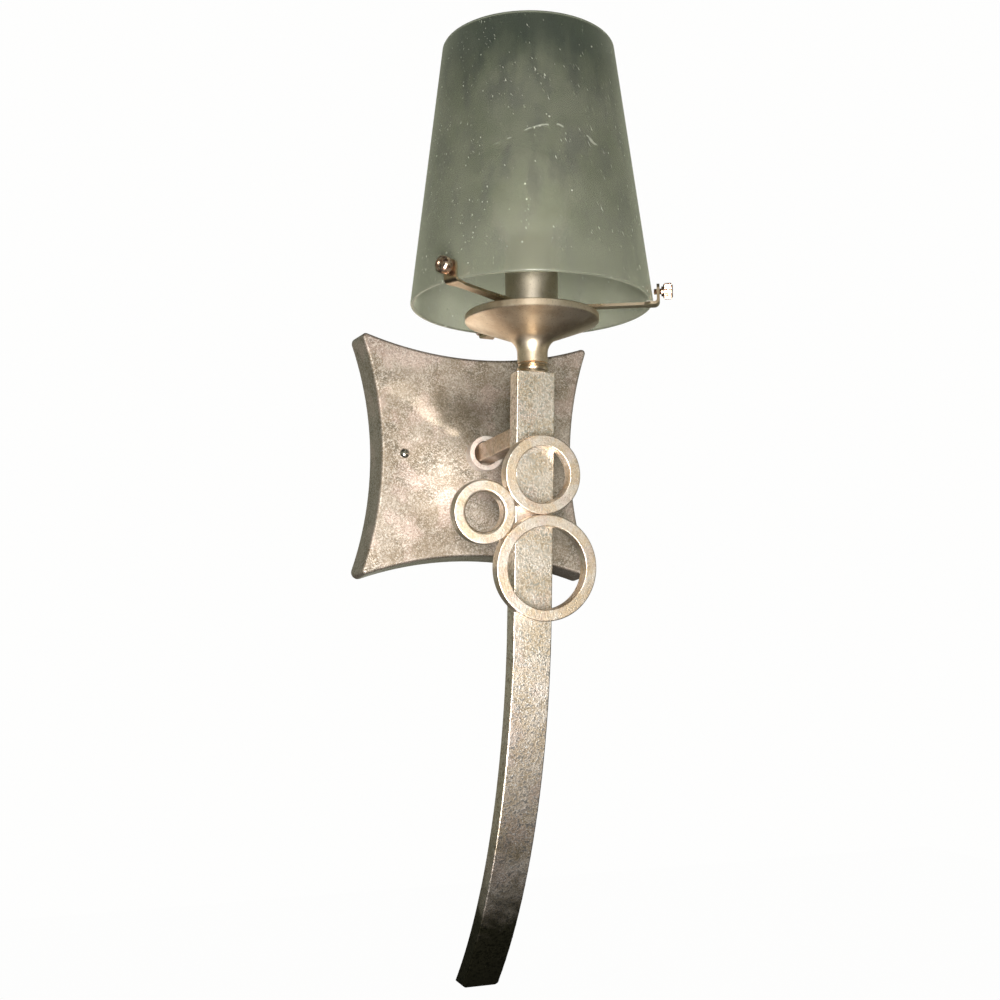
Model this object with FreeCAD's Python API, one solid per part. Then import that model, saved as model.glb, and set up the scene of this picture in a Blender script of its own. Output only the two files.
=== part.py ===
import FreeCAD, Part
import math
import os

V = FreeCAD.Vector

# Wall sconce with a frosted glass shade. Millimetres, +Z up, +X to the right seen from the room.
# The wall is the plane Y = 0 and the sconce stands out from it towards -Y.
# The origin is the centre of the back plate's rim, on the wall.

# ---- driving sizes ----

# back plate: a square pan with bowed-in sides and a raised middle
plate_half = 85.0          # centre to the line through the corners
plate_waist = 70.0         # centre to the middle of a side, at the front face
plate_corner_r = 2.6
plate_depth = 25.5         # wall to the flat of the face
plate_flare = 2.0          # how far the rim on the wall stands outside the face
plate_edge_r = 2.2
dome_r = 64.0
dome_rise = 9.0
sheet = 1.5

# arm between the plate and the upright bar
arm_side = 12.0
arm_edge_r = 0.8

# upright bar: straight above, curved to the wall below
bar_w = 25.4
bar_t = 12.7
bar_wall = 1.3
bar_edge_r = 0.8
bar_lean = 4.4             # degrees, outwards at the top
bar_face = 138.2           # wall to the bar's front face, at the arm
bar_top = 36.3
curve_start = 118.0        # below the arm, measured along the bar
curve_r = 391.0
curve_deg = 40.0
tip_r = 3.0                # the tip's two rounded corners
tip_solid = 5.0            # the tube is closed for this height above the tip

# wire way through the arm, the bar's back and the stem: it leaves the bar's top plug this wall
plug_wall = 0.9
wire_r = bar_t / 2 - bar_wall - plug_wall

# welded rings on the front of the bar
ring_t = 9.1
upper_r = 24.7
upper_bore_r = 17.75
large_r = 32.95
large_bore_r = 25.8
small_r = 19.8
small_bore_r = 12.3
boss_wall = 3.6
boss_gap = 0.45            # round the arm's corners
boss_bore_r = arm_side / math.sqrt(2) - arm_edge_r * (math.sqrt(2) - 1) + boss_gap
boss_r = boss_bore_r + boss_wall
upper_at = (2.3, -28.3)
large_lean_x = 3.4         # the large ring's centre is this far to the right of the upper one's

# turned dish under the shade
neck_r = 9.6
neck_base = 42.8
dish_r = 42.4
dish_low = 69.2
dish_high = 73.8
neck_curve_r = 11.0

# glass shade: a plain cone, open at both ends
pad_t = 0.9
glass_t = 2.8
glass_low_r = 76.6
glass_high_r = 55.6
glass_h = 169.3

# shade fitter: three arms, each with an upturned tab and a thumb screw
fitter_z = 77.0
fitter_t = 1.8
fitter_angles = (27.0, 147.0, 267.0)   # from +X, turning towards the room
tab_in = glass_low_r + 2.4
tab_high = 90.6
tab_w = 9.0
blade_w = 6.4
bend_r = 1.6               # inside the bend at the tab's foot
screw_z = 86.0
screw_r = 1.9
screw_tip = glass_low_r + 0.6
screw_head_r = 5.2
screw_head_in = tab_in + fitter_t + 2.0
screw_head_out = screw_head_in + 6.2

# lamp holder, from the lamp's screw cap outwards to the cup around it
cap_r = 13.1
cap_gap = 0.5
shell_wall = 0.7
holder_wall = 1.1
cup_gap = 0.4
cup_wall = 0.9
cup_h = 48.5
shell_r = cap_r + cap_gap + shell_wall
holder_r = shell_r + holder_wall
cup_r = holder_r + cup_gap + cup_wall

# lamp: a round opal globe on a screw cap
tip_gap = 0.3              # from the holder's tongue
cap_h = 20.0
cap_wall = 0.5
cap_root = 0.9             # the thread's root, in from cap_r
thread_h = 0.8
thread_pitch = 3.6
thread_turns = 4
globe_r = 30.0
globe_wall = 0.9
globe_gap = 1.0            # from the cup's mouth
globe_neck_r = cap_r - 0.7
globe_bend_r = 4.0         # where the neck opens into the globe

# fixings
thread_gap = 0.15
stem_wall = 1.4
stem_r = wire_r - thread_gap
stem_bore_r = stem_r - stem_wall
strap_t = 2.2
strap_w = 16.0
strap_half = 62.0
box_spacing = 88.9
box_slot_w = 4.8
box_slot_l = 13.0
plate_screw_x = 54.0
plate_screw_r = 2.0
plate_screw_head_r = 3.3

lean = math.radians(bar_lean)
bar_mid = bar_face + bar_top * math.tan(lean) - bar_t / math.cos(lean) / 2
axis_y = -bar_mid
hub_top = fitter_z + fitter_t
glass_z = hub_top + pad_t

os.makedirs("parts", exist_ok=True)
parts = {}


# ---- shape helpers ----

def loop(points):
    return Part.Face(Part.makePolygon([V(*p) for p in points + points[:1]]))


def turned(profile, y=None):
    """A solid of (radius, height) points turned about the lamp's upright axis."""
    centre = axis_y if y is None else y
    face = loop([(r, 0, z) for r, z in profile])
    solid = face.revolve(V(0, 0, 0), V(0, 0, 1), 360)
    solid.translate(V(0, centre, 0))
    return solid


def turned_face(edges):
    """The same for a closed list of edges drawn in the XZ plane."""
    solid = Part.Face(Part.Wire(edges)).revolve(V(0, 0, 0), V(0, 0, 1), 360)
    solid.translate(V(0, axis_y, 0))
    return solid


def out_rod(r, near, far, x=0.0, z=0.0):
    """A round rod standing out of the wall, between two distances from it."""
    return Part.makeCylinder(r, far - near, V(x, -near, z), V(0, -1, 0))


def hexagon(across, height):
    r = across / math.sqrt(3)
    corners = [(r * math.cos(math.radians(60 * k)), r * math.sin(math.radians(60 * k)), 0)
               for k in range(6)]
    return loop(corners).extrude(V(0, 0, height))


def around(shape, degrees):
    """Turn a piece drawn along +X to one of the fitter's arms."""
    turned_piece = shape.copy()
    turned_piece.rotate(V(0, 0, 0), V(0, 0, 1), -degrees)
    turned_piece.translate(V(0, axis_y, 0))
    return turned_piece


def block(x0, x1, y0, y1, z0, z1):
    return Part.makeBox(x1 - x0, y1 - y0, z1 - z0, V(x0, y0, z0))


def on_bar(shape):
    """Stand a piece drawn against an upright bar face onto the leaning one."""
    placed = shape.copy()
    placed.rotate(V(0, 0, 0), V(1, 0, 0), bar_lean)
    placed.translate(V(0, -bar_face, 0))
    return placed


# ---- back plate ----

side_r = (plate_half ** 2 + (plate_half - plate_waist) ** 2) / (2 * (plate_half - plate_waist))
side_c = plate_waist + side_r


def plan_wire(grow, distance):
    """The plate's outline, grown sideways, at a distance from the wall."""
    big = side_r - grow
    small = plate_corner_r + grow
    c = (side_c - math.sqrt(2 * (side_r + plate_corner_r) ** 2 - side_c ** 2)) / 2
    reach = big + small
    tangent = (side_c - (side_c - c) * big / reach, c * big / reach)
    tip = c + small / math.sqrt(2)
    edges = []
    for k in range(4):
        def spin(x, z, k=k):
            for _ in range(k):
                x, z = -z, x
            return V(x, -distance, z)
        low = spin(tangent[0], -tangent[1])
        high = spin(tangent[0], tangent[1])
        edges.append(Part.Arc(low, spin(side_c - big, 0), high).toShape())
        after = spin(tangent[1], tangent[0])
        edges.append(Part.Arc(high, spin(tip, tip), after).toShape())
    return Part.Wire(edges)


def dome(lift):
    """The raised middle of the plate: two arcs that meet halfway up."""
    half = dome_r / 2
    r = (half ** 2 + (dome_rise / 2) ** 2) / dome_rise
    a = math.asin(half / r) / 2
    base = plate_depth + lift
    top = base + dome_rise
    mid = V(half, base + dome_rise / 2, 0)
    crown = Part.Arc(V(0, top, 0), V(r * math.sin(a), top - r + r * math.cos(a), 0), mid)
    foot = Part.Arc(mid, V(dome_r - r * math.sin(a), base + r - r * math.cos(a), 0), V(dome_r, base, 0))
    edges = [crown.toShape(), foot.toShape(),
             Part.makeLine(V(dome_r, base, 0), V(dome_r, base - 3, 0)),
             Part.makeLine(V(dome_r, base - 3, 0), V(0, base - 3, 0)),
             Part.makeLine(V(0, base - 3, 0), V(0, top, 0))]
    solid = Part.Face(Part.Wire(edges)).revolve(V(0, 0, 0), V(0, 1, 0), 360)
    solid.rotate(V(0, 0, 0), V(0, 0, 1), 180)
    return solid


plate_block = Part.makeLoft([plan_wire(plate_flare, 0), plan_wire(0, plate_depth)], True, True)
front_edges = [e for e in plate_block.Edges
               if all(abs(v.Point.y + plate_depth) < 1e-6 for v in e.Vertexes)]
plate_block = plate_block.makeFillet(plate_edge_r, front_edges)
plate_outer = plate_block.fuse(dome(0)).removeSplitter()
plate_room = Part.makeLoft([plan_wire(plate_flare - sheet, 0), plan_wire(-sheet, plate_depth - sheet)],
                           True, True)
plate_room = plate_room.fuse(dome(-sheet)).removeSplitter()
back_plate = plate_outer.cut(plate_room)
back_plate = back_plate.cut(out_rod(wire_r, 0, 80))
for side in (-1, 1):
    back_plate = back_plate.cut(out_rod(plate_screw_r + 0.25, 0, 80, side * plate_screw_x))
parts["back_plate"] = back_plate
crown_at = plate_depth + dome_rise

# two screws through the face into the strap behind
half = dome_r / 2
ogee_r = (half ** 2 + (dome_rise / 2) ** 2) / dome_rise
run = dome_r - (plate_screw_x - plate_screw_head_r)
head_base = plate_depth + ogee_r - math.sqrt(ogee_r ** 2 - run ** 2)
plate_screws = []
for side in (-1, 1):
    x = side * plate_screw_x
    shank = out_rod(plate_screw_r, 0.2, head_base + 0.5, x)
    head_ball = Part.makeSphere(4.0, V(x, -(head_base + 2.1 - 4.0), 0))
    head = out_rod(plate_screw_head_r, head_base, head_base + 4, x).common(head_ball)
    slot = block(x - 0.45, x + 0.45, -(head_base + 4), -(head_base + 1.1), -4, 4)
    plate_screws.append(shank.fuse(head).cut(slot).removeSplitter())
parts["plate_screws"] = Part.makeCompound(plate_screws)

# steel strap that the wall box's screws hold
strap = block(-strap_half, strap_half, -strap_t, 0, -strap_w / 2, strap_w / 2)
strap = strap.makeFillet(6.0, [e for e in strap.Edges if abs(e.Vertexes[0].Y - e.Vertexes[1].Y) > 1])
strap = strap.cut(out_rod(9.5, -1, 10).common(block(-20, 20, -10, 10, -5.2, 5.2)))
for side in (-1, 1):
    strap = strap.cut(out_rod(plate_screw_r + 0.05, -1, 10, side * plate_screw_x))
    x = side * box_spacing / 2
    reach = (box_slot_l - box_slot_w) / 2
    slot = block(x - reach, x + reach, -10, 10, -box_slot_w / 2, box_slot_w / 2)
    slot = slot.fuse([out_rod(box_slot_w / 2, -10, 10, x - reach), out_rod(box_slot_w / 2, -10, 10, x + reach)])
    strap = strap.cut(slot)
earth_x = 26.0
strap = strap.cut(out_rod(1.95, -1, 10, earth_x))
parts["wall_strap"] = strap

earth = hexagon(7.0, 3.0)
earth.rotate(V(0, 0, 0), V(1, 0, 0), 90)
earth.translate(V(earth_x, -strap_t - 0.6, 0))
flange = out_rod(4.6, strap_t, strap_t + 0.8, earth_x)
earth = earth.fuse([flange, out_rod(1.8, 0.2, strap_t + 1, earth_x)])
parts["earth_screw"] = earth.removeSplitter()


# ---- arm and its fixing through the plate ----

# the bar's full solid, used to shape the pieces that meet it
def bar_run(inset, past, z_top):
    """The bar, or its hollow when inset, from its top to some degrees past the end of the curve."""
    near = inset
    far = bar_t - inset
    half_w = bar_w / 2 - inset
    end = math.radians(curve_deg + past)
    low = -curve_start

    def at(depth, angle):
        r = curve_r - depth
        return V(-half_w, curve_r - r * math.cos(angle), low - r * math.sin(angle))

    edges = [Part.makeLine(V(-half_w, near, z_top), V(-half_w, near, low)),
             Part.Arc(at(near, 0), at(near, end / 2), at(near, end)).toShape(),
             Part.makeLine(at(near, end), at(far, end)),
             Part.Arc(at(far, end), at(far, end / 2), at(far, 0)).toShape(),
             Part.makeLine(V(-half_w, far, low), V(-half_w, far, z_top)),
             Part.makeLine(V(-half_w, far, z_top), V(-half_w, near, z_top))]
    return Part.Face(Part.Wire(edges)).extrude(V(2 * half_w, 0, 0))


spare_deg = 6.0
bar_solid = bar_run(0, spare_deg, bar_top + 6)
long_edges = []
for e in bar_solid.Edges:
    mid = e.valueAt((e.FirstParameter + e.LastParameter) / 2)
    a, b = e.Vertexes[0].Point, e.Vertexes[-1].Point
    if abs(abs(mid.x) - bar_w / 2) < 1e-6 and abs(a.z - b.z) > 20:
        long_edges.append(e)
bar_solid = bar_solid.makeFillet(bar_edge_r, long_edges)
bar_solid = on_bar(bar_solid)
above = block(-60, 60, -400, 100, bar_top, bar_top + 60)
bar_solid = bar_solid.cut(above)
hollow = on_bar(bar_run(bar_wall, spare_deg, bar_top + 6)).cut(above)

# the tip is cut level where the front face's curve ends, and its corners are rounded
tip_angle = math.radians(curve_deg)
tip_in = curve_r - curve_r * math.cos(tip_angle)
tip_down = -curve_start - curve_r * math.sin(tip_angle)
tip_z = tip_down * math.cos(lean) + tip_in * math.sin(lean)
outline = block(-bar_w / 2, bar_w / 2, -400, 100, tip_z, bar_top + 20)
outline = outline.makeFillet(tip_r, [e for e in outline.Edges if abs(e.Vertexes[0].Y - e.Vertexes[1].Y) > 1
                                     and e.Vertexes[0].Z < tip_z + 0.1])
bar_solid = bar_solid.common(outline)
hollow = hollow.common(block(-60, 60, -400, 100, tip_z + tip_solid, bar_top + 60))

arm = block(-arm_side / 2, arm_side / 2, -(bar_face - bar_t / 2), -crown_at, -arm_side / 2, arm_side / 2)
arm_long = [e for e in arm.Edges if abs(e.Vertexes[0].Y - e.Vertexes[1].Y) > 20]
arm = arm.makeFillet(arm_edge_r, arm_long)
arm = arm.cut(bar_solid)
arm = arm.cut(out_rod(wire_r, 0, 300))
parts["arm"] = arm

nipple_in = crown_at - 11.5
nipple = out_rod(stem_r, nipple_in, crown_at + 12)
nipple = nipple.cut(out_rod(stem_bore_r, 0, 100))
parts["arm_nipple"] = nipple

inner_face = crown_at - sheet
washer = out_rod(9.0, inner_face - 1.9, inner_face - 0.5).cut(out_rod(wire_r, 0, 100))
washer = washer.fuse(out_rod(9.0, inner_face - 0.6, inner_face + 1).cut(out_rod(wire_r, 0, 100)))
washer = washer.common(dome(-sheet)).removeSplitter()
parts["arm_washer"] = washer

nut = hexagon(13.0, 5.0)
nut.rotate(V(0, 0, 0), V(1, 0, 0), 90)
nut.translate(V(0, -(inner_face - 1.9 - 5.0), 0))
nut = nut.cut(out_rod(wire_r, 0, 100))
parts["arm_nut"] = nut

boss_front = crown_at + ring_t
boss = out_rod(boss_r, plate_depth + 4, boss_front)
boss = boss.makeFillet(0.7, [e for e in boss.Edges if e.Vertexes[0].Y < -boss_front + 0.1])
boss = boss.cut(out_rod(boss_bore_r, 0, 100))
boss = boss.cut(out_rod(boss_bore_r + 0.7, boss_front - 1.2, boss_front + 5))
boss = boss.cut(dome(0))
parts["boss_ring"] = boss


# ---- bar ----

bar = bar_solid.cut(hollow)
bar = bar.cut(out_rod(wire_r, 0, bar_face - bar_t / 2))
parts["tail_bar"] = bar

plug_low = bar_top - 7.0
top_plug = hollow.common(block(-60, 60, -400, 100, plug_low, bar_top + 1))
top_plug = top_plug.cut(turned([(0, 0), (wire_r, 0), (wire_r, 100), (0, 100)]))
parts["bar_top_plug"] = top_plug



# ---- rings on the bar ----

def ring(outer_r, bore_r, x, z, outer_edge, inner_edge):
    shape = Part.makeCylinder(outer_r, ring_t, V(x, 0, z), V(0, -1, 0))
    shape = shape.cut(Part.makeCylinder(bore_r, ring_t + 2, V(x, 1, z), V(0, -1, 0)))
    rims = []
    bores = []
    for e in shape.Edges:
        if abs(e.Length - 2 * math.pi * outer_r) < 0.01:
            rims.append(e)
        if abs(e.Length - 2 * math.pi * bore_r) < 0.01 and e.Vertexes[0].Y < -1:
            bores.append(e)
    shape = shape.makeFillet(outer_edge, rims)
    bores = [e for e in shape.Edges
             if abs(e.Length - 2 * math.pi * bore_r) < 0.01 and e.Vertexes[0].Y < -1]
    return on_bar(shape.makeFillet(inner_edge, bores))


def third_centre(a, b, from_a, from_b):
    """The point left of the line a-b at the two given distances."""
    dx, dz = b[0] - a[0], b[1] - a[1]
    gap = math.hypot(dx, dz)
    along = (gap ** 2 + from_a ** 2 - from_b ** 2) / (2 * gap)
    off = math.sqrt(from_a ** 2 - along ** 2)
    return (a[0] + (along * dx + off * dz) / gap, a[1] + (along * dz - off * dx) / gap)


drop = math.sqrt((upper_r + large_r) ** 2 - large_lean_x ** 2)
large_at = (upper_at[0] + large_lean_x, upper_at[1] - drop)
small_at = third_centre(upper_at, large_at, upper_r + small_r, large_r + small_r)
parts["ring_upper"] = ring(upper_r, upper_bore_r, upper_at[0], upper_at[1], 0.8, 0.6)
parts["ring_large"] = ring(large_r, large_bore_r, large_at[0], large_at[1], 0.8, 0.6)
parts["ring_small"] = ring(small_r, small_bore_r, small_at[0], small_at[1], 1.0, 1.8)


# ---- turned pieces under the shade ----

collar = turned([(wire_r, bar_top), (8.8, bar_top), (8.8, bar_top + 0.9), (9.5, bar_top + 1.7),
                 (9.9, bar_top + 2.9), (9.5, bar_top + 4.1), (8.7, bar_top + 4.8),
                 (9.1, bar_top + 5.3), (9.1, bar_top + 5.9), (8.3, neck_base), (wire_r, neck_base)])
parts["neck_collar"] = collar

bend = math.radians(68.5)
neck_top = neck_base + 6.2
curve_c = neck_r + neck_curve_r
mid_pt = V(curve_c - neck_curve_r * math.cos(bend / 2), 0, neck_top + neck_curve_r * math.sin(bend / 2))
end_pt = V(curve_c - neck_curve_r * math.cos(bend), 0, neck_top + neck_curve_r * math.sin(bend))
rim_edge = 0.6
floor_z = end_pt.z + 2.6
dish_edges = [
    Part.makeLine(V(wire_r, 0, neck_base), V(neck_r, 0, neck_base)),
    Part.makeLine(V(neck_r, 0, neck_base), V(neck_r, 0, neck_top)),
    Part.Arc(V(neck_r, 0, neck_top), mid_pt, end_pt).toShape(),
    Part.makeLine(end_pt, V(dish_r - rim_edge, 0, dish_low)),
    Part.makeLine(V(dish_r - rim_edge, 0, dish_low), V(dish_r, 0, dish_low + rim_edge)),
    Part.makeLine(V(dish_r, 0, dish_low + rim_edge), V(dish_r, 0, dish_high - rim_edge)),
    Part.makeLine(V(dish_r, 0, dish_high - rim_edge), V(dish_r - rim_edge, 0, dish_high)),
    Part.makeLine(V(dish_r - rim_edge, 0, dish_high), V(dish_r - 2.2, 0, dish_high)),
    Part.makeLine(V(dish_r - 2.2, 0, dish_high), V(dish_r - 3.4, 0, dish_low + 1.6)),
    Part.makeLine(V(dish_r - 3.4, 0, dish_low + 1.6), V(end_pt.x + 1.5, 0, floor_z)),
    Part.makeLine(V(end_pt.x + 1.5, 0, floor_z), V(wire_r, 0, floor_z)),
    Part.makeLine(V(wire_r, 0, floor_z), V(wire_r, 0, neck_base))]
parts["dish"] = turned_face(dish_edges)

parts["fitter_spacer"] = turned([(wire_r, floor_z), (8.5, floor_z), (8.5, floor_z + 2), (7.0, floor_z + 3),
                                 (7.0, fitter_z - 2), (10.0, fitter_z - 1), (10.0, fitter_z),
                                 (wire_r, fitter_z)])

stem_low = plug_low + 0.5
stem_high = hub_top + cup_wall + 9.0
parts["stem_nipple"] = turned([(stem_bore_r, stem_low), (stem_r, stem_low), (stem_r, stem_high),
                               (stem_bore_r, stem_high)])


# ---- shade fitter ----

hub_r = 19.0
fitter = Part.makeCylinder(hub_r, fitter_t, V(0, 0, fitter_z))
arm_out = tab_in + fitter_t
screw_hole = Part.makeCylinder(screw_r + 0.2, 10, V(tab_in - 4, 0, screw_z), V(1, 0, 0))
bend_x = tab_in - bend_r
bend_z = hub_top + bend_r
half_turn = math.sqrt(0.5)
outer_bend_r = bend_r + fitter_t
strip_edges = [
    Part.makeLine(V(10, 0, hub_top), V(bend_x, 0, hub_top)),
    Part.Arc(V(bend_x, 0, hub_top), V(bend_x + bend_r * half_turn, 0, bend_z - bend_r * half_turn),
             V(tab_in, 0, bend_z)).toShape(),
    Part.makeLine(V(tab_in, 0, bend_z), V(tab_in, 0, tab_high)),
    Part.makeLine(V(tab_in, 0, tab_high), V(arm_out, 0, tab_high)),
    Part.makeLine(V(arm_out, 0, tab_high), V(arm_out, 0, bend_z)),
    Part.Arc(V(arm_out, 0, bend_z), V(bend_x + outer_bend_r * half_turn, 0, bend_z - outer_bend_r * half_turn),
             V(bend_x, 0, fitter_z)).toShape(),
    Part.makeLine(V(bend_x, 0, fitter_z), V(10, 0, fitter_z)),
    Part.makeLine(V(10, 0, fitter_z), V(10, 0, hub_top))]
strip = Part.Face(Part.Wire(strip_edges)).extrude(V(0, 30, 0))
strip.translate(V(0, -15, 0))
half_plan = [(10, 9.0), (28, blade_w / 2 + 1.0), (48, blade_w / 2), (tab_in - 8, blade_w / 2),
             (tab_in - 4, tab_w / 2), (arm_out, tab_w / 2)]
plan = [(x, -y, fitter_z - 1) for x, y in half_plan] + [(x, y, fitter_z - 1) for x, y in reversed(half_plan)]
one_arm = strip.common(loop(plan).extrude(V(0, 0, 30)))
one_arm = one_arm.makeFillet(3.2, [e for e in one_arm.Edges if abs(e.Vertexes[0].X - e.Vertexes[-1].X) > 1
                                   and e.Vertexes[0].Z > tab_high - 0.1 and e.Vertexes[-1].Z > tab_high - 0.1])
one_arm = one_arm.cut(screw_hole)
fitter = fitter.fuse([one_arm.rotated(V(0, 0, 0), V(0, 0, 1), -a) for a in fitter_angles])
fitter = fitter.removeSplitter()
fitter = fitter.cut(Part.makeCylinder(wire_r, 20, V(0, 0, fitter_z - 5)))
fitter.translate(V(0, axis_y, 0))
parts["shade_fitter"] = fitter

# soft pads that the glass stands on
pad_mid = glass_low_r - glass_t / 2
pads = [around(block(pad_mid - 2.6, pad_mid + 1.5, -3, 3, hub_top, glass_z), a) for a in fitter_angles]
parts["rest_pads"] = Part.makeCompound(pads)

# thumb screws: a chamfered shank, a shoulder and a round head
for number, angle in enumerate(fitter_angles, 1):
    spindle = Part.makeCylinder(screw_r, screw_head_out - screw_tip - 1, V(screw_tip, 0, screw_z), V(1, 0, 0))
    spindle = spindle.makeChamfer(0.5, [e for e in spindle.Edges if e.Vertexes[0].X < screw_tip + 0.1
                                        and len(e.Vertexes) == 1])
    shoulder = Part.makeCylinder(3.1, 1.6, V(screw_head_in - 1.0, 0, screw_z), V(1, 0, 0))
    head_len = screw_head_out - screw_head_in
    head = Part.makeCylinder(screw_head_r, head_len, V(screw_head_in, 0, screw_z), V(1, 0, 0))
    head = head.makeChamfer(0.6, [e for e in head.Edges if len(e.Vertexes) == 1])
    parts["thumb_screw_%d" % number] = around(spindle.fuse([shoulder, head]).removeSplitter(), angle)


# ---- glass shade ----

slope = (glass_low_r - glass_high_r) / glass_h
glass = turned([(glass_low_r - glass_t, glass_z), (glass_low_r - 0.6, glass_z),
                (glass_low_r, glass_z + 0.6), (glass_high_r, glass_z + glass_h - 0.6),
                (glass_high_r - 0.6, glass_z + glass_h), (glass_high_r - glass_t + 0.5, glass_z + glass_h),
                (glass_high_r - glass_t, glass_z + glass_h - 0.5),
                (glass_low_r - glass_t - 0.5 * slope, glass_z + 0.5)])
parts["glass_shade"] = glass


# ---- lamp holder ----

cup_low = hub_top
cup_floor = cup_low + cup_wall
parts["socket_cup"] = turned([(wire_r, cup_low), (cup_r - 1.0, cup_low), (cup_r, cup_low + 1.0),
                              (cup_r, cup_low + cup_h), (cup_r - cup_wall, cup_low + cup_h),
                              (cup_r - cup_wall, cup_low + 1.4), (cup_r - cup_wall - 0.5, cup_floor),
                              (wire_r, cup_floor)])

lock = hexagon(13.0, 3.6)
lock.translate(V(0, axis_y, cup_floor))
parts["stem_nut"] = lock.cut(turned([(0, 0), (wire_r, 0), (wire_r, 200), (0, 200)]))

holder_low = cup_floor + 3.8
holder_floor = holder_low + 6.0
holder_high = cup_low + 43.0
parts["holder_body"] = turned([(wire_r, holder_low), (holder_r - 1.5, holder_low), (holder_r, holder_low + 1.5),
                               (holder_r, holder_high - 0.8), (holder_r - 0.8, holder_high),
                               (shell_r, holder_high), (shell_r, holder_floor), (wire_r, holder_floor)])

shell_low = holder_floor + 0.6
shell_in = shell_r - shell_wall
parts["holder_shell"] = turned([(shell_in, shell_low), (shell_r - 0.02, shell_low),
                                (shell_r - 0.02, holder_high - 1.5), (shell_in, holder_high - 1.5)])

tongue_z = holder_floor
tongue = turned([(0, tongue_z), (6.0, tongue_z), (6.0, tongue_z + 0.6), (3.2, tongue_z + 1.8),
                 (0, tongue_z + 2.0)])
parts["holder_contact"] = tongue


# ---- lamp ----

tip_low = tongue_z + 2.0 + tip_gap
insulator_low = tip_low + 1.2
cap_low = tip_low + 4.6
cap_high = cap_low + cap_h
parts["lamp_contact"] = turned([(0, tip_low), (2.6, tip_low), (4.6, tip_low + 0.7), (4.6, insulator_low),
                                (0, insulator_low)])
parts["lamp_insulator"] = turned([(0, insulator_low), (5.4, insulator_low), (10.6, cap_low), (0, cap_low)])

root_r = cap_r - cap_root
cap_in = root_r - cap_wall
cap_profile = [(0, cap_low), (10.8, cap_low)]
for k in range(thread_turns * 6 + 1):
    turns = k / 6
    ridge = 0.5 - 0.5 * math.cos(2 * math.pi * turns)
    cap_profile.append((root_r + thread_h * ridge, cap_low + 1.2 + turns * thread_pitch))
cap_profile += [(root_r, cap_high), (cap_in, cap_high), (cap_in, cap_low + 2.0),
                (cap_in - 1.5, cap_low + cap_wall), (0, cap_low + cap_wall)]
parts["lamp_cap"] = turned(cap_profile)

# the globe stands as low as the cup's mouth lets it
cup_mouth_r = cup_r - cup_wall
globe_z = cup_low + cup_h + math.sqrt((globe_r + globe_gap) ** 2 - cup_mouth_r ** 2)
bend_x = globe_neck_r + globe_bend_r
bend_rise = math.sqrt((globe_r + globe_bend_r) ** 2 - bend_x ** 2)
bend_z = globe_z - bend_rise
bend_end = math.atan2(bend_rise, -bend_x)


def on_circle(x, z, r, angle):
    return V(x + r * math.cos(angle), 0, z + r * math.sin(angle))


def globe_outline(inset):
    """The globe's edges from its cap to its crown, drawn a distance inside its skin."""
    bend = globe_bend_r + inset
    ball = globe_r - inset
    foot = V(globe_neck_r - inset, 0, cap_high)
    neck = on_circle(bend_x, bend_z, bend, math.pi)
    neck_mid = on_circle(bend_x, bend_z, bend, (math.pi + bend_end) / 2)
    shoulder = on_circle(bend_x, bend_z, bend, bend_end)
    side = on_circle(0, globe_z, ball, (bend_end - math.pi / 2) / 2)
    crown = V(0, 0, globe_z + ball)
    return [Part.makeLine(foot, neck), Part.Arc(neck, neck_mid, shoulder).toShape(),
            Part.Arc(shoulder, side, crown).toShape()]


globe_edges = globe_outline(0)
globe_edges.append(Part.makeLine(V(0, 0, globe_z + globe_r), V(0, 0, globe_z + globe_r - globe_wall)))
globe_edges += reversed(globe_outline(globe_wall))
globe_edges.append(Part.makeLine(V(globe_neck_r - globe_wall, 0, cap_high), V(globe_neck_r, 0, cap_high)))
parts["lamp_globe"] = turned_face(globe_edges)


# ---- write every piece ----

for name, shape in parts.items():
    shape.exportStep(os.path.join("parts", name + ".step"))
    good = shape.isValid() and all(s.Volume > 0 for s in shape.Solids)
    box = shape.BoundBox
    print("%-16s solids %d valid %s vol %.0f  x %.1f..%.1f y %.1f..%.1f z %.1f..%.1f" % (
        name, len(shape.Solids), good, shape.Volume, box.XMin, box.XMax, box.YMin, box.YMax, box.ZMin, box.ZMax))
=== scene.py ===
import math

import bmesh
import bpy
from mathutils import Euler, Matrix, Vector


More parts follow.
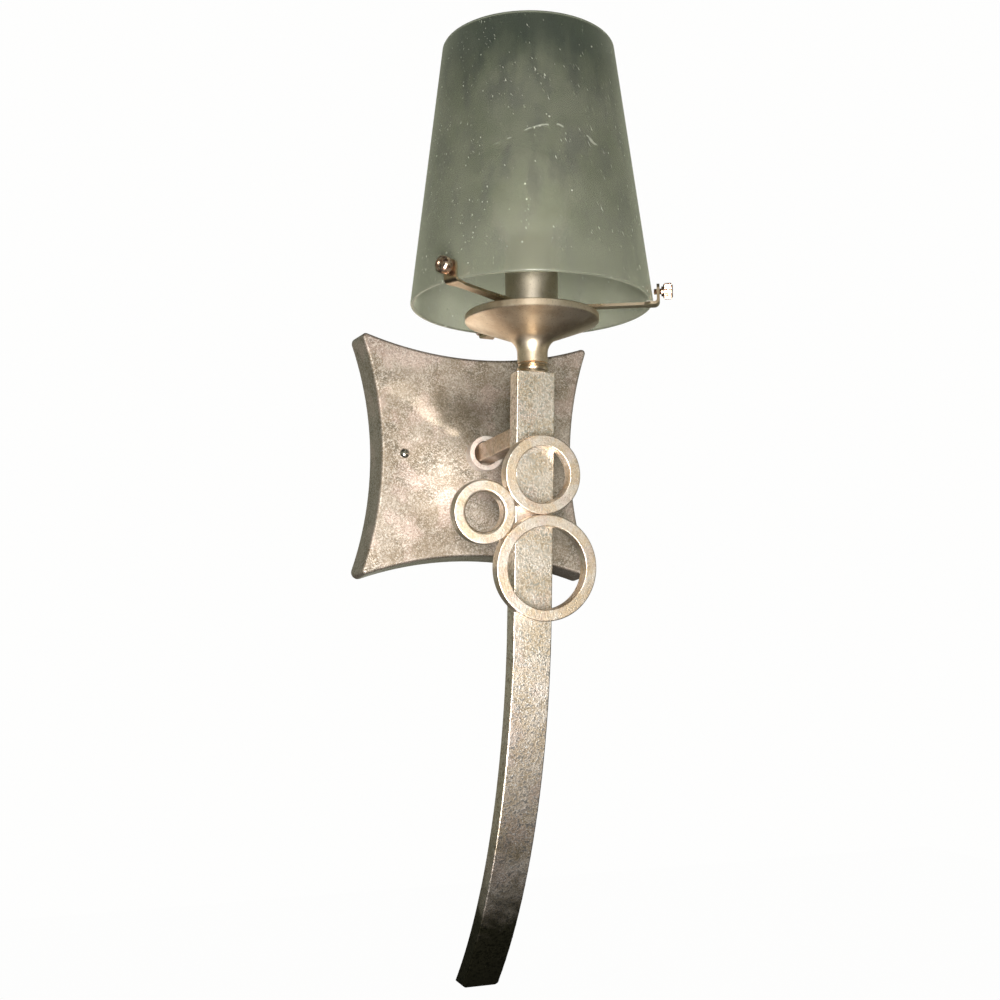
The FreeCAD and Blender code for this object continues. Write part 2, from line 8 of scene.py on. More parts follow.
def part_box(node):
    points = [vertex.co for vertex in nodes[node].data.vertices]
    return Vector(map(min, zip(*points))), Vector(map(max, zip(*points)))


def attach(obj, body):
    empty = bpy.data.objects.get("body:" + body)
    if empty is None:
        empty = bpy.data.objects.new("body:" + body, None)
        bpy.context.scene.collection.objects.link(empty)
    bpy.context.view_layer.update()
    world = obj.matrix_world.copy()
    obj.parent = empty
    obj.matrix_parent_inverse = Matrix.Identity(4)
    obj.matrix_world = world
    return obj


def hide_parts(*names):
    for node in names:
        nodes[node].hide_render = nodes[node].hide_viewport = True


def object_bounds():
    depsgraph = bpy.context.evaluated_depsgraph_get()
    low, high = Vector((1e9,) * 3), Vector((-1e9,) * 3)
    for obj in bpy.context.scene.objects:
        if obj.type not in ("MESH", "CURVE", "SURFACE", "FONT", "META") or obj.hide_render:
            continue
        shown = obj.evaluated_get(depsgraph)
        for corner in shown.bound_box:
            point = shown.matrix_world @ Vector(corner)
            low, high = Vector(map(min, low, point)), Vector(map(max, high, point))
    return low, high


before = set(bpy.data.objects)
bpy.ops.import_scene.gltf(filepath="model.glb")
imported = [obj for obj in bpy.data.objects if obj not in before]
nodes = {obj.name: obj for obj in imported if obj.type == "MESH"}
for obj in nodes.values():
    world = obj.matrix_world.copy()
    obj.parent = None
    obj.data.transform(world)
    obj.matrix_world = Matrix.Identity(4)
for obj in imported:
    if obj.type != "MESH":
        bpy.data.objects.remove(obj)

cad_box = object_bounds()


# ---- viewpoint ----
# Someone standing a little to the left of the sconce, with the eye below its shade and looking up
# slightly, so that the dish is seen from underneath.
camera = bpy.data.objects.new("camera", bpy.data.cameras.new("camera"))
camera.location = (-0.28158, -0.87479, -0.14045)
camera.rotation_euler = Euler([math.radians(a) for a in (96.7607, 0.8143, -21.0135)])
camera.data.sensor_width = 36.0
camera.data.lens = 46.17
camera.data.shift_x = -0.0408
camera.data.shift_y = 0.0046
bpy.context.scene.collection.objects.link(camera)
bpy.context.scene.camera = camera


# ---- wall strap and earth screw ----
# A pressed steel strap, zinc plated, that the wall box's two screws hold against the wall. The bare
# earth lead goes under a hexagon-headed screw dipped in green enamel.

class Level:
    """One output of a node. Arithmetic between levels and numbers adds Math nodes."""

    def __init__(self, tree, socket):
        self.tree = tree
        self.socket = socket

    def worked(self, operation, first, second):
        return self.tree.add("ShaderNodeMath", {"operation": operation}, {0: first, 1: second})

    def __add__(self, other):
        return self.worked("ADD", self, other)

    __radd__ = __add__

    def __sub__(self, other):
        return self.worked("SUBTRACT", self, other)

    def __rsub__(self, other):
        return self.worked("SUBTRACT", other, self)

    def __mul__(self, other):
        return self.worked("MULTIPLY", self, other)

    __rmul__ = __mul__

    def __truediv__(self, other):
        return self.worked("DIVIDE", self, other)

    def __pow__(self, other):
        return self.worked("POWER", self, other)


class Tree:
    """A node tree that is filled through one method."""

    def __init__(self, tree):
        self.tree = tree
        tree.nodes.clear()

    def add(self, kind, settings=None, sockets=None, out=0):
        """Add a node, its settings first, then its sockets' values or links. Gives one output."""
        node = self.tree.nodes.new(kind)
        for setting, value in (settings or {}).items():
            if setting == "stops":
                for number, (position, colour) in enumerate(value):
                    ramp = node.color_ramp.elements
                    stop = ramp[number] if number < 2 else ramp.new(position)
                    stop.position = position
                    stop.color = (*colour, 1.0)
            else:
                setattr(node, setting, value)
        for socket, value in (sockets or {}).items():
            if isinstance(value, Level):
                self.tree.links.new(value.socket, node.inputs[socket])
            elif node.inputs[socket].is_multi_input:
                for part in value:
                    self.tree.links.new(part.socket, node.inputs[socket])
            elif node.inputs[socket].type == "RGBA" and len(value) == 3:
                node.inputs[socket].default_value = (*value, 1.0)
            else:
                node.inputs[socket].default_value = value
        return Level(self, node.outputs[out]) if node.outputs else None


class Finish(Tree):
    """One surface finish: a material with the patterns of its colour, gloss and grain."""

    def __init__(self, name):
        self.material = bpy.data.materials.new(name)
        self.material.use_nodes = True
        super().__init__(self.material.node_tree)
        self.place = self.add("ShaderNodeTexCoord", out="Object")

    def moved(self, size, shift=(0, 0, 0), turn=(0, 0, 0), stretch=(1, 1, 1)):
        """The place on the piece, counted in features of a size in metres."""
        turned_place = self.add("ShaderNodeMapping", {"vector_type": "POINT"},
                                {"Vector": self.place, "Rotation": [math.radians(a) for a in turn]})
        return self.add("ShaderNodeMapping", {"vector_type": "POINT"}, {
            "Vector": turned_place, "Location": shift, "Scale": [1 / (size * s) for s in stretch]})

    def noise(self, size, detail=3.0, rough=0.5, warp=0.0, **where):
        return self.add("ShaderNodeTexNoise", {"noise_dimensions": "3D"}, {
            "Vector": self.moved(size, **where), "Scale": 1.0, "Detail": detail, "Roughness": rough,
            "Distortion": warp})

    def cells(self, size, out="Distance", **where):
        return self.add("ShaderNodeTexVoronoi", {"feature": "F1"}, {
            "Vector": self.moved(size, **where), "Scale": 1.0}, out=out)

    def along(self, axis):
        """How far along X, Y or Z the place is, in metres."""
        return self.add("ShaderNodeSeparateXYZ", sockets={0: self.place}, out=axis)

    def between(self, level, low, high):
        """0 below low and 1 above high, with a smooth step between."""
        return self.add("ShaderNodeMapRange", {"interpolation_type": "SMOOTHSTEP", "clamp": True},
                        {"Value": level, "From Min": low, "From Max": high})

    def tint(self, first, second, amount, way="MIX"):
        return self.add("ShaderNodeMix", {"data_type": "RGBA", "blend_type": way},
                        {0: amount, 6: first, 7: second}, out=2)

    def grain(self, height, depth, strength=0.5):
        return self.add("ShaderNodeBump", sockets={"Height": height, "Distance": depth,
                                                   "Strength": strength})

    def surface(self, colour, roughness, **others):
        shader = self.add("ShaderNodeBsdfPrincipled", sockets={
            "Base Color": colour, "Roughness": roughness,
            **{socket.replace("_", " "): value for socket, value in others.items()}})
        self.add("ShaderNodeOutputMaterial", sockets={"Surface": shader})
        return self.material


def dress(material, *names):
    """Give CAD pieces a finish."""
    for name in names:
        for surface in nodes[name].material_slots:
            surface.material = material


def zinc_finish():
    zinc = Finish("zinc plate")
    spangle = zinc.cells(0.004, out="Color", shift=(3, 1, 2))
    dirt = zinc.noise(0.012, detail=5.0)
    rolled = zinc.noise(0.0006, stretch=(30, 1, 1))
    colour = zinc.tint((0.42, 0.43, 0.44), (0.62, 0.62, 0.60), spangle * 0.6)
    colour = zinc.tint(colour, (0.25, 0.23, 0.20), zinc.between(dirt, 0.52, 0.72) * 0.5)
    return zinc.surface(colour, zinc.between(dirt, 0.3, 0.7) * 0.2 + 0.28, Metallic=1.0,
                        Normal=zinc.grain(rolled, 0.0001, 0.25))


def enamel_finish():
    enamel = Finish("green enamel")
    runs = enamel.noise(0.003, detail=3.0)
    colour = enamel.tint((0.010, 0.13, 0.035), (0.02, 0.22, 0.06), runs)
    return enamel.surface(colour, 0.22 + 0.1 * runs, Coat_Weight=0.4,
                          Normal=enamel.grain(runs, 0.0003, 0.4))


zinc_plate = zinc_finish()
dress(zinc_plate, "wall_strap", "arm_washer", "arm_nut", "stem_nut")
dress(enamel_finish(), "earth_screw")


# ---- back plate ----
# A square pan with bowed-in sides and a raised middle, pressed from 1.5 mm steel. Leafed in silver
# under a champagne glaze, rubbed through here and there, with fine crossed rubbing marks.

def leaf_finish(name, pale, warm, dull, cloud, fleck, flecked=0.5, scratched=0.0, rough=0.40,
                metal=1.0, lacquer=0.3, painted_shade=None):
    leaf = Finish(name)
    clouds = leaf.noise(cloud, detail=5.0, rough=0.6, warp=0.8)
    patches = leaf.noise(cloud * 0.6, detail=6.0, rough=0.7, shift=(7, 3, 5))
    blush = leaf.noise(cloud * 0.8, detail=3.0, shift=(1, 9, 4))
    flecks = leaf.noise(fleck, detail=2.0, rough=0.7, warp=0.6, shift=(4, 4, 1))
    grit = leaf.noise(fleck * 0.55, detail=1.0, shift=(2, 8, 6))
    colour = leaf.tint(warm, pale, leaf.between(clouds, 0.40, 0.60))
    colour = leaf.tint(colour, dull, leaf.between(patches, 0.50, 0.68) * 0.7)
    colour = leaf.tint(colour, (0.78, 0.60, 0.55), leaf.between(blush, 0.48, 0.64) * 0.4)
    worn = 0.45 + 0.55 * leaf.between(patches, 0.36, 0.58)
    dark = leaf.between(flecks, 0.50, 0.41) * flecked * worn * 0.6
    colour = leaf.tint(colour, [c * 0.45 for c in dull], dark)
    bright = leaf.between(flecks, 0.50, 0.60) * flecked * worn
    colour = leaf.tint(colour, (0.99, 0.93, 0.86), bright)
    glints = leaf.between(grit, 0.57, 0.68) * flecked * 0.8
    colour = leaf.tint(colour, (1.0, 0.98, 0.95), glints)
    height = flecks * 0.6 + grit * 0.4
    roughness = rough + 0.16 * patches - 0.16 * bright
    if scratched:
        rubbed = leaf.between(leaf.noise(0.045, detail=2.0, shift=(0.6, 0, 0.3)), 0.44, 0.62)
        lines = None
        for tilt in (38, -47):
            thin = leaf.noise(0.0007, detail=1.0, turn=(0, tilt, 0), stretch=(1, 6, 40))
            line = leaf.between(thin, 0.60, 0.68)
            lines = line if lines is None else lines + line
        lines = lines * rubbed * scratched
        colour = leaf.tint(colour, (0.90, 0.86, 0.80), lines)
        height = height - 0.3 * lines
    # Painted shade: a dark patch that fades out over its reach from a given place. It stands for dark
    # reflections on the leaf, not for dirt.
    if painted_shade:
        place, reach, depth = painted_shade
        away = leaf.add("ShaderNodeVectorMath", {"operation": "DISTANCE"}, {0: leaf.place, 1: place},
                        out="Value")
        edge = away + (clouds - 0.5) * reach * 1.2
        painted_shade_amount = leaf.between(edge, reach, reach * 0.35) * depth
        colour = leaf.tint(colour, (0.075, 0.072, 0.042), painted_shade_amount)
    return leaf.surface(colour, roughness, Metallic=metal, Coat_Weight=lacquer, Coat_Roughness=0.10,
                        Coat_IOR=1.6, Normal=leaf.grain(height, 0.0003, 0.75))


# The dark patch above and left of the boss is painted shade. It stands for the dark reflection of the arm and
# bar in the plate's raised middle.
plate_leaf = leaf_finish("plate leaf", pale=(0.46, 0.39, 0.32), warm=(0.33, 0.265, 0.195),
                         dull=(0.18, 0.15, 0.105), cloud=0.026, fleck=0.0013, flecked=0.42,
                         scratched=0.25, rough=0.55, metal=0.95, lacquer=1.0,
                         painted_shade=((-0.016, -0.033, 0.026), 0.030, 0.35))
dress(plate_leaf, "back_plate")


# ---- plate screws ----
# Two slotted, dome-headed steel screws through the plate's face into the strap, which draw the pan's
# rim against the wall. Nickel plated and polished.

def nickel_finish():
    nickel = Finish("polished nickel")
    haze = nickel.noise(0.002, detail=4.0)
    colour = nickel.tint((0.62, 0.58, 0.53), (0.78, 0.74, 0.69), haze)
    return nickel.surface(colour, 0.10 + 0.16 * haze, Metallic=1.0,
                          Normal=nickel.grain(haze, 0.00005, 0.3))


dress(nickel_finish(), "plate_screws")


# ---- arm and boss ring ----
# A short length of square steel bar welded to the upright, drawn up to the plate by a threaded nipple
# and nut from behind. A plain ring sits round it on the plate. Leafed like the plate, but brighter.
ring_leaf = leaf_finish("ring leaf", pale=(0.96, 0.86, 0.76), warm=(0.86, 0.68, 0.48),
                        dull=(0.56, 0.46, 0.32), cloud=0.014, fleck=0.0013, flecked=0.5, rough=0.36)
arm_leaf = leaf_finish("arm leaf", pale=(0.72, 0.58, 0.44), warm=(0.60, 0.44, 0.29),
                       dull=(0.36, 0.28, 0.18), cloud=0.012, fleck=0.0013, flecked=0.4, rough=0.42)
dress(arm_leaf, "arm")
# The boss ring's leaf is painted lighter than the rings' leaf. This is painted light for the lamp that falls
# on its face.
boss_leaf = leaf_finish("boss leaf", pale=(0.98, 0.90, 0.84), warm=(0.95, 0.82, 0.73),
                        dull=(0.74, 0.61, 0.49), cloud=0.012, fleck=0.0013, flecked=0.4, rough=0.55,
                        metal=0.45)
dress(boss_leaf, "boss_ring")


# ---- upright bar ----
# A flat steel tube that leans out a little above and curves back to the wall below, closed at its tip
# and plugged at its top. Its leaf is coarser than the plate's and strongly flecked.
# The bar's leaf is painted darker towards the tip. This is painted shade standing for the dark floor that the
# curved tail reflects.
tip_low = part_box("tail_bar")[0]
bar_leaf = leaf_finish("bar leaf", pale=(0.97, 0.87, 0.76), warm=(0.78, 0.65, 0.49),
                       dull=(0.42, 0.34, 0.22), cloud=0.022, fleck=0.0020, flecked=1.0, rough=0.36,
                       painted_shade=((0.0, -0.020, tip_low.z), 0.128, 1.0))
dress(bar_leaf, "tail_bar", "bar_top_plug")


# ---- rings on the bar ----
# Three rings cut from steel tube, welded to each other and to the front of the bar, and leafed with it.
# Their faces are rubbed smoother than the bar's.
dress(ring_leaf, "ring_upper", "ring_large", "ring_small")


# ---- collar, dish and spacer ----
# Turned steel pieces, threaded on one stem: a ringed collar, a trumpet-shaped dish with a banded rim
# and the spacer under the shade's fitter. Plated, then glazed to the colour of the leaf.

def turned_finish(name, pale, warm, rough):
    plated = Finish(name)
    cloud = plated.noise(0.018, detail=4.0, rough=0.6)
    specks = plated.noise(0.0011, detail=2.0, rough=0.7)
    tooling = plated.noise(0.0005, detail=2.0, stretch=(400, 400, 1))
    colour = plated.tint(warm, pale, plated.between(cloud, 0.35, 0.65))
    colour = plated.tint(colour, (0.95, 0.88, 0.78), plated.between(specks, 0.58, 0.70) * 0.35)
    colour = plated.tint(colour, (0.20, 0.16, 0.11), plated.between(specks, 0.42, 0.30) * 0.35)
    return plated.surface(colour, rough + 0.14 * cloud, Metallic=1.0,
                          Normal=plated.grain(tooling * 0.6 + specks * 0.4, 0.00008, 0.35))


champagne_plate = turned_finish("champagne plate", (0.78, 0.64, 0.48), (0.60, 0.45, 0.30), 0.22)
dress(champagne_plate, "neck_collar", "fitter_spacer", "shade_fitter")
dress(turned_finish("dish plate", (0.88, 0.76, 0.60), (0.70, 0.56, 0.40), 0.34), "dish")
dress(turned_finish("satin champagne", (0.86, 0.78, 0.66), (0.72, 0.63, 0.50), 0.38), "socket_cup")


# ---- stem ----
# Threaded steel tube, zinc plated. It holds the collar, dish, fitter and lamp holder together, and the
# leads run through it. A shorter length holds the arm to the plate.
dress(zinc_plate, "stem_nipple", "arm_nipple")


# ---- rest pads ----
# Three small pads of pale rubber, glued to the fitter's arms near their tabs. The glass stands on them
# and doesn't touch the metal.

def rubber_finish():
    rubber = Finish("pale rubber")
    dust = rubber.noise(0.0015, detail=3.0)
    colour = rubber.tint((0.42, 0.40, 0.35), (0.60, 0.57, 0.50), dust)
    return rubber.surface(colour, 0.75 + 0.15 * dust, Normal=rubber.grain(dust, 0.0002, 0.5))


dress(rubber_finish(), "rest_pads")


# ---- thumb screws ----
# Three brass screws through the fitter's tabs that steady the glass. Each is turned from one rod, with a
# shoulder under its head and straight ribs rolled round it for the fingers. Copper-plated, worn bright.

def knurled_tree():
    """A head's ribs: rounded bars set round a circle, standing along the screw's axis."""
    ribs = bpy.data.node_groups.new("knurled head", "GeometryNodeTree")
    given = {"Screw": "NodeSocketGeometry", "Ribs": "NodeSocketInt", "Head radius": "NodeSocketFloat",
             "Rib radius": "NodeSocketFloat", "Rib length": "NodeSocketFloat",
             "Rib middle": "NodeSocketFloat", "Finish": "NodeSocketMaterial"}
    for name, kind in given.items():
        ribs.interface.new_socket(name, in_out="INPUT", socket_type=kind)
    ribs.interface.new_socket("Screw", in_out="OUTPUT", socket_type="NodeSocketGeometry")
    tree = Tree(ribs)
    size = {name: tree.add("NodeGroupInput", out=name) for name in given}
    ring = tree.add("GeometryNodeMeshCircle", {"fill_type": "NONE"},
                    {"Vertices": size["Ribs"], "Radius": size["Head radius"]})
    rib = tree.add("GeometryNodeMeshCylinder", {"fill_type": "NGON"},
                   {"Vertices": 8, "Radius": size["Rib radius"], "Depth": size["Rib length"]})
    rods = tree.add("GeometryNodeInstanceOnPoints", sockets={"Points": ring, "Instance": rib})
    height = tree.add("ShaderNodeCombineXYZ", sockets={"Z": size["Rib middle"]})
    rods = tree.add("GeometryNodeTransform", sockets={"Geometry": rods, "Translation": height})
    joined = tree.add("GeometryNodeJoinGeometry", sockets={"Geometry": [size["Screw"], rods]})
    solid = tree.add("GeometryNodeRealizeInstances", sockets={"Geometry": joined})
    finished = tree.add("GeometryNodeSetMaterial", sockets={"Geometry": solid, "Material": size["Finish"]})
    tree.add("NodeGroupOutput", sockets={"Screw": finished})
    return ribs


def copper_finish():
    copper = Finish("worn copper plate")
    wear = copper.noise(0.0016, detail=4.0, rough=0.7)
    dirt = copper.noise(0.0028, detail=3.0, shift=(3, 1, 7))
    colour = copper.tint((0.50, 0.30, 0.21), (0.93, 0.78, 0.66), copper.between(wear, 0.44, 0.62))
    colour = copper.tint(colour, (0.07, 0.045, 0.035), copper.between(dirt, 0.50, 0.64) * 0.8)
    return copper.surface(colour, 0.18 + 0.3 * dirt, Metallic=1.0,
                          Normal=copper.grain(wear, 0.0001, 0.5))


worn_copper = copper_finish()
knurled_head = knurled_tree()
cup_low, cup_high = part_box("socket_cup")
axis_y = (cup_low.y + cup_high.y) / 2
screw_z = 0.0860
screw_tip = 0.0772
head_in = 0.0830
head_out = 0.0890
shank_r = 0.0019
head_r = 0.0046
rib_r = 0.00052
rib_count = 22
rib_inset = 0.0009           # the ribs stop this short of the head's two faces
point = 0.0005               # bevel at the tip
thread_depth = 0.00025
thread_half = 0.00035        # half a turn's height
thread_end = 0.0042
shoulder_r = 0.0031
shoulder_foot = 0.0047
head_edge = 0.0006
crown_drop = 0.0008
crown_edge = 0.0009
dimple_r = 0.0022
dimple_floor_r = 0.0016
dimple_depth = 0.0005
head_foot = head_in - screw_tip
head_top = head_out - screw_tip
screw_outline = [(0.0, 0.0), (shank_r - point, 0.0), (shank_r, point)]
while screw_outline[-1][1] < thread_end:
    foot = screw_outline[-1][1]
    screw_outline += [(shank_r - thread_depth, foot + thread_half), (shank_r, foot + 2 * thread_half)]
screw_outline += [(shoulder_r, shoulder_foot), (shoulder_r, head_foot), (head_r - head_edge, head_foot),
                  (head_r, head_foot + head_edge), (head_r, head_top - crown_drop),
                  (head_r - crown_edge, head_top), (dimple_r, head_top),
                  (dimple_floor_r, head_top - dimple_depth), (0.0, head_top - dimple_depth)]
for number, degrees in enumerate((27, 147, 267), 1):
    turning = bmesh.new()
    rim = [turning.verts.new((r, 0.0, h)) for r, h in screw_outline]
    edges = [turning.edges.new(pair) for pair in zip(rim, rim[1:])]
    bmesh.ops.spin(turning, geom=rim + edges, axis=(0, 0, 1), cent=(0, 0, 0), angle=2 * math.pi, steps=40)
    bmesh.ops.remove_doubles(turning, verts=turning.verts, dist=1e-6)
    bmesh.ops.recalc_face_normals(turning, faces=turning.faces)
    name = "knurled_screw_%d" % number
    core = bpy.data.meshes.new(name)
    turning.to_mesh(core)
    turning.free()
    blank = bpy.data.objects.new(name, core)
    bpy.context.scene.collection.objects.link(blank)
    knurling = blank.modifiers.new("knurling", "NODES")
    knurling.node_group = knurled_head
    chosen = {"Ribs": rib_count, "Head radius": head_r, "Rib radius": rib_r,
              "Rib length": head_out - head_in - 2 * rib_inset,
              "Rib middle": (head_in + head_out) / 2 - screw_tip, "Finish": worn_copper}
    for socket in knurled_head.interface.items_tree:
        if socket.in_out == "INPUT" and socket.name in chosen:
            knurling[socket.identifier] = chosen[socket.name]
    bpy.context.view_layer.update()
    made = bpy.data.meshes.new_from_object(blank.evaluated_get(bpy.context.evaluated_depsgraph_get()))
    blank.modifiers.remove(knurling)
    outward = Matrix.Rotation(math.radians(-degrees), 4, "Z") @ Matrix.Rotation(math.radians(90), 4, "Y")
    reach = Matrix.Rotation(math.radians(-degrees), 4, "Z") @ Vector((screw_tip, 0.0, 0.0))
    made.transform(Matrix.Translation((reach.x, axis_y + reach.y, screw_z)) @ outward)
    made.set_sharp_from_angle(angle=math.radians(35))
    blank.data = made
    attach(blank, "screw_%d" % number)
    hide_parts("thumb_screw_%d" % number)


# ---- glass shade ----
# A plain cone of blown glass, open at both ends, with ground and softened rims. Etched all over to a
# grey-green frost that shows what is behind it only as a shadow. Dusty, with small chips.

def frost_finish(foot, crown):
    frost = Finish("frosted glass")
    cloud = frost.noise(0.030, detail=5.0, rough=0.65)
    streaks = frost.noise(0.010, detail=4.0, rough=0.6, shift=(5, 2, 3), stretch=(1, 1, 3))
    rise = frost.along("Z")
    colour = frost.tint((0.38, 0.41, 0.31), (0.48, 0.50, 0.40), frost.between(cloud, 0.36, 0.64))
    colour = frost.tint(colour, (0.29, 0.295, 0.285), frost.between(streaks, 0.46, 0.62) * 0.5)
    # Painted light: the glass is paler towards the foot, where the lamps below light it most.
    colour = frost.tint(colour, (0.62, 0.64, 0.52), frost.between(rise, foot + 0.075, foot) * 0.55)
    # Painted shade: the glass is darker towards the top, for the dark room seen through the open top.
    upper = frost.between(rise + (streaks - 0.5) * 0.05, crown - 0.055, crown - 0.012)
    colour = frost.tint(colour, (0.055, 0.085, 0.075), upper * 0.75)
    size = frost.cells(0.011, out="Color", shift=(2, 2, 2))
    dots = frost.between(frost.cells(0.011, shift=(2, 2, 2)) / (0.3 + size), 0.075, 0.035)
    nicks = frost.noise(0.0010, detail=1.0, turn=(0, 24, 0), stretch=(1, 1, 7))
    nicks = frost.between(nicks, 0.70, 0.76) * frost.between(streaks, 0.46, 0.56)
    marks = dots * 0.8 + nicks * 0.8
    wavering = frost.noise(0.02, detail=2.0, shift=(6, 6, 1))
    skip = frost.between(frost.noise(0.006, detail=2.0, shift=(9, 1, 4)), 0.48, 0.60)
    side = frost.along("X") + 0.010
    away = (side * side + (rise - 0.118) * (rise - 0.118)) ** 0.5 + (wavering - 0.5) * 0.012
    scuff = frost.between(away, 0.0530, 0.0540) * frost.between(away, 0.0550, 0.0540)
    scuff = scuff * frost.between(rise, 0.155, 0.166) * frost.between(frost.along("Y"), -0.15, -0.17)
    marks = marks + scuff * skip * 0.40
    # Paler rims: the ground glass of the edges, and partly a painted highlight where the edges catch the
    # light.
    rims = frost.between(rise, foot + 0.0020, foot + 0.0008)
    rims = rims + frost.between(rise, crown - 0.0020, crown - 0.0008)
    colour = frost.tint(colour, (0.62, 0.64, 0.52), rims * 0.6)
    etched = frost.add("ShaderNodeBsdfPrincipled", sockets={
        "Base Color": colour, "Roughness": 0.20 + 0.10 * cloud, "Transmission Weight": 0.80, "IOR": 1.45,
        "Sheen Weight": 0.25, "Sheen Roughness": 0.5, "Sheen Tint": (0.75, 0.80, 0.62),
        "Normal": frost.grain(frost.noise(0.0012), 0.0001, 0.3)})
    chipped = frost.tint((0.60, 0.63, 0.52), (0.78, 0.80, 0.70), cloud)
    matt = frost.add("ShaderNodeBsdfPrincipled", sockets={"Base Color": chipped, "Roughness": 0.85})
    layered = frost.add("ShaderNodeMixShader", sockets={0: marks * 0.75, 1: etched, 2: matt})
    frost.add("ShaderNodeOutputMaterial", sockets={"Surface": layered})
    return frost.material


def turned(name, profile, body, material, stands_for, steps=160):
    """A piece turned about the lamp's upright axis from a closed outline of (radius, height)."""
    shape = bmesh.new()
    rows = []
    for radius, height in profile:
        row = []
        for k in range(steps):
            angle = 2 * math.pi * k / steps
            row.append(shape.verts.new((radius * math.cos(angle), axis_y + radius * math.sin(angle),
                                        height)))
        rows.append(row)
    for row, above in zip(rows, rows[1:] + rows[:1]):
        for k in range(steps):
            after = (k + 1) % steps
            shape.faces.new((row[k], row[after], above[after], above[k]))
    bmesh.ops.remove_doubles(shape, verts=shape.verts, dist=1e-7)
    bmesh.ops.recalc_face_normals(shape, faces=shape.faces)
    for face in shape.faces:
        face.smooth = True
    mesh = bpy.data.meshes.new(name)
    shape.to_mesh(mesh)
    shape.free()
    mesh.set_sharp_from_angle(angle=math.radians(40))
    mesh.materials.append(material)
    piece = bpy.data.objects.new(name, mesh)
    bpy.context.scene.collection.objects.link(piece)
    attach(piece, body)
    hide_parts(stands_for)
    return piece


glass_low, glass_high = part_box("glass_shade")
glass_foot_r = (glass_high.x - glass_low.x) / 2
glass_top_r = 0.0556
glass_t = 0.0028
rim_r = 0.0011
rim_steps = 4                # to each quarter of a rim's rounding
glass_outline = []
for radius, height, start in ((glass_foot_r - rim_r, glass_low.z + rim_r, -90),
                              (glass_top_r - rim_r, glass_high.z - rim_r, 0),
                              (glass_top_r - glass_t + rim_r, glass_high.z - rim_r, 90),
                              (glass_foot_r - glass_t + rim_r, glass_low.z + rim_r, 180)):
    for k in range(rim_steps + 1):
        angle = math.radians(start + 90 / rim_steps * k)
        glass_outline.append((radius + rim_r * math.cos(angle), height + rim_r * math.sin(angle)))
glass = turned("frosted_shade", glass_outline, "shade",
               frost_finish(glass_low.z, glass_high.z), "glass_shade", steps=192)


# ---- lamp holder ----
# A glazed porcelain body in the cup, over the nut on the stem, with a brass screw shell and a sprung
# brass tongue on its floor.

def porcelain_finish():
    glaze = Finish("glazed porcelain")
    pits = glaze.noise(0.002, detail=3.0)
    colour = glaze.tint((0.74, 0.71, 0.64), (0.84, 0.82, 0.77), pits)
    return glaze.surface(colour, 0.14 + 0.08 * pits, Coat_Weight=0.5,
                         Normal=glaze.grain(pits, 0.0002, 0.2))


def brass_finish():
    brass = Finish("brass")
    tarnish = brass.noise(0.004, detail=4.0)
    colour = brass.tint((0.72, 0.50, 0.20), (0.42, 0.28, 0.12), brass.between(tarnish, 0.5, 0.7))
    return brass.surface(colour, 0.22 + 0.2 * tarnish, Metallic=1.0,
                         Normal=brass.grain(tarnish, 0.0001, 0.3))


dress(porcelain_finish(), "holder_body")
dress(brass_finish(), "holder_shell", "holder_contact")


# ---- lamp ----
# A round opal lamp, 60 mm across, blown in white glass. Its nickelled screw cap has a black glass
# insulator and a bead of solder for its centre contact.

def opal_finish():
    opal = Finish("opal glass")
    swirl = opal.noise(0.014, detail=3.0, rough=0.5)
    dust = opal.noise(0.0022, detail=4.0, rough=0.7)
    colour = opal.tint((0.80, 0.78, 0.76), (0.88, 0.87, 0.85), swirl)
    colour = opal.tint(colour, (0.62, 0.60, 0.56), opal.between(dust, 0.60, 0.72) * 0.4)
    return opal.surface(colour, 0.16 + 0.14 * dust, Coat_Weight=0.3,
                        Normal=opal.grain(swirl, 0.0001, 0.15))


def cap_finish(name, first, second, rough):
    cap = Finish(name)
    scuffs = cap.noise(0.0016, detail=4.0, rough=0.7)
    colour = cap.tint(first, second, scuffs)
    return cap.surface(colour, rough + 0.18 * scuffs, Metallic=1.0,
                       Normal=cap.grain(scuffs, 0.0001, 0.3))


def black_glass_finish():
    vitrite = Finish("black glass")
    flow = vitrite.noise(0.003, detail=3.0)
    colour = vitrite.tint((0.010, 0.010, 0.012), (0.030, 0.030, 0.034), flow)
    return vitrite.surface(colour, 0.10 + 0.10 * flow, Coat_Weight=0.4,
                           Normal=vitrite.grain(flow, 0.0002, 0.25))


dress(opal_finish(), "lamp_globe")
dress(cap_finish("nickelled cap", (0.58, 0.56, 0.53), (0.76, 0.75, 0.72), 0.24), "lamp_cap")
dress(cap_finish("solder", (0.50, 0.50, 0.51), (0.68, 0.68, 0.69), 0.32), "lamp_contact")
dress(black_glass_finish(), "lamp_insulator")


# ---- floor and light ----
# A floor and a room that the camera sees as plain and pale, and that light the piece as darker ones.
# A small lamp stands beside the viewer and a broad one below it, with weak broad ones to the right
# and behind.

def pale_floor():
    floor_finish = Finish("pale floor")
    tooth = floor_finish.noise(0.4, detail=3.0)
    colour = floor_finish.tint((0.05, 0.05, 0.05), (0.06, 0.06, 0.06), tooth)
    seen = floor_finish.add("ShaderNodeLightPath", out="Is Camera Ray")
    matt = floor_finish.add("ShaderNodeBsdfDiffuse", sockets={"Color": colour})
    bright = floor_finish.add("ShaderNodeEmission", sockets={"Color": (0.985, 0.985, 0.98),
                                                             "Strength": 1.0})
    mixed = floor_finish.add("ShaderNodeMixShader", sockets={0: seen, 1: matt, 2: bright})
    floor_finish.add("ShaderNodeOutputMaterial", sockets={"Surface": mixed})
    return floor_finish.material


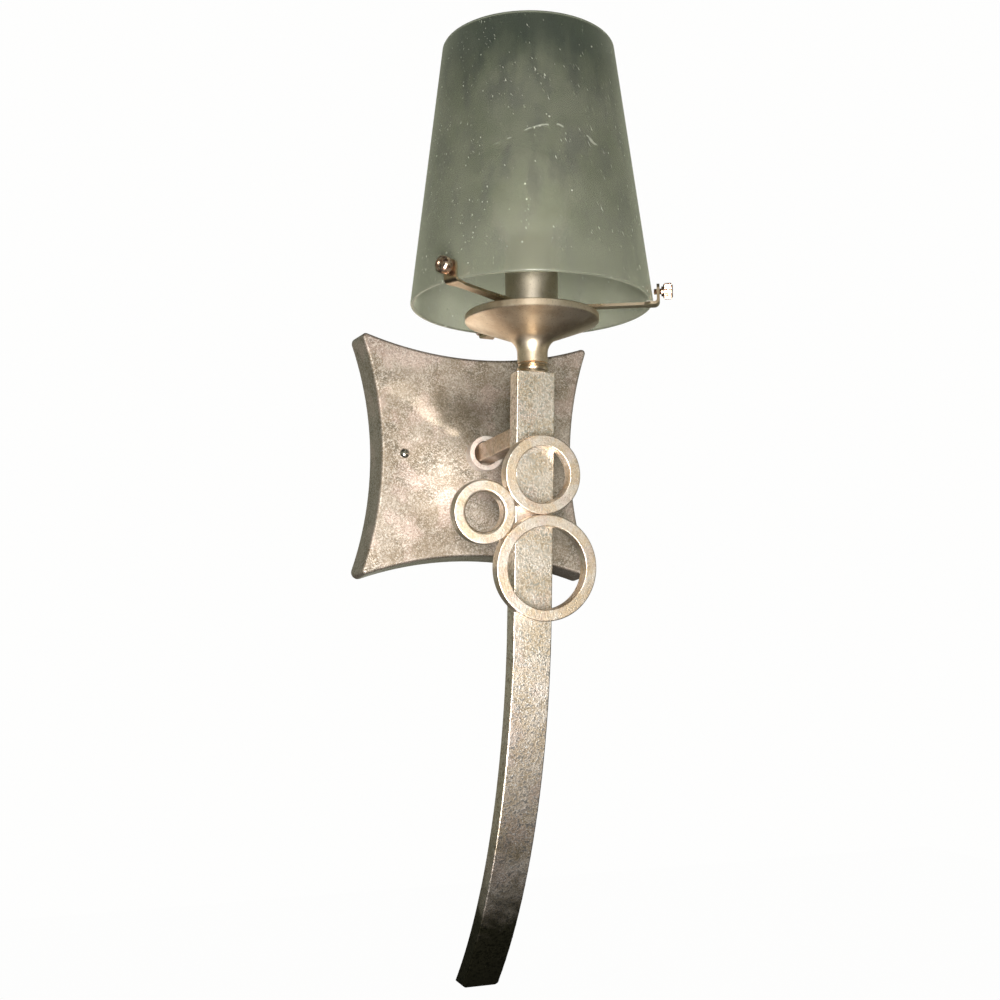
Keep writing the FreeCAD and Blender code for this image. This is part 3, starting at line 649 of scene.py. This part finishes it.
floor_mesh = bpy.data.meshes.new("floor")
floor_half = 1.6
floor_z = cad_box[0][2] - 0.22
floor_mesh.from_pydata([(x, y, floor_z) for x, y in ((-floor_half, -floor_half), (floor_half, -floor_half),
                                                     (floor_half, floor_half), (-floor_half, floor_half))],
                       [], [(0, 1, 2, 3)])
floor_mesh.materials.append(pale_floor())
floor = bpy.data.objects.new("floor", floor_mesh)
bpy.context.scene.collection.objects.link(floor)

world = bpy.data.worlds.new("room")
world.use_nodes = True
bpy.context.scene.world = world
room = Tree(world.node_tree)
seen = room.add("ShaderNodeLightPath", out="Is Camera Ray")
height = room.add("ShaderNodeSeparateXYZ", sockets={0: room.add("ShaderNodeTexCoord", out="Generated")},
                  out="Z")
walls = room.add("ShaderNodeValToRGB", {"stops": [(0.0, (0.004, 0.004, 0.003)), (1.0, (0.05, 0.05, 0.045)),
                                                  (0.22, (0.015, 0.015, 0.010)), (0.40, (0.17, 0.175, 0.125)),
                                                  (0.60, (0.23, 0.235, 0.18)), (0.80, (0.07, 0.075, 0.06))]},
                 {0: height * 0.5 + 0.5})
sky = room.add("ShaderNodeMix", {"data_type": "RGBA"}, {0: seen, 6: walls, 7: (0.99, 0.99, 0.985)}, out=2)
room.add("ShaderNodeOutputWorld", sockets={
    "Surface": room.add("ShaderNodeBackground", sockets={"Color": sky, "Strength": 1.0})})


def soft_lamp(name, place, target, size, power, colour=(1.0, 0.97, 0.93)):
    lamp = bpy.data.objects.new(name, bpy.data.lights.new(name, "AREA"))
    lamp.data.shape = "DISK"
    lamp.data.size = size
    lamp.data.energy = power
    lamp.data.color = colour
    lamp.location = place
    lamp.rotation_euler = (Vector(target) - Vector(place)).to_track_quat("-Z", "Y").to_euler()
    bpy.context.scene.collection.objects.link(lamp)


middle = (0.0, -0.10, -0.06)
soft_lamp("viewer lamp", (-0.285, -0.90, -0.105), middle, 0.085, 5.2)
soft_lamp("low lamp", (-0.24, -0.82, -0.42), (0.0, -0.11, -0.15), 0.42, 9.5)
soft_lamp("right lamp", (1.5, -0.5, 0.0), middle, 0.8, 0.6)
soft_lamp("back lamp", (0.5, 1.6, 0.3), middle, 1.0, 1.6)

bpy.context.scene.view_settings.view_transform = "Standard"
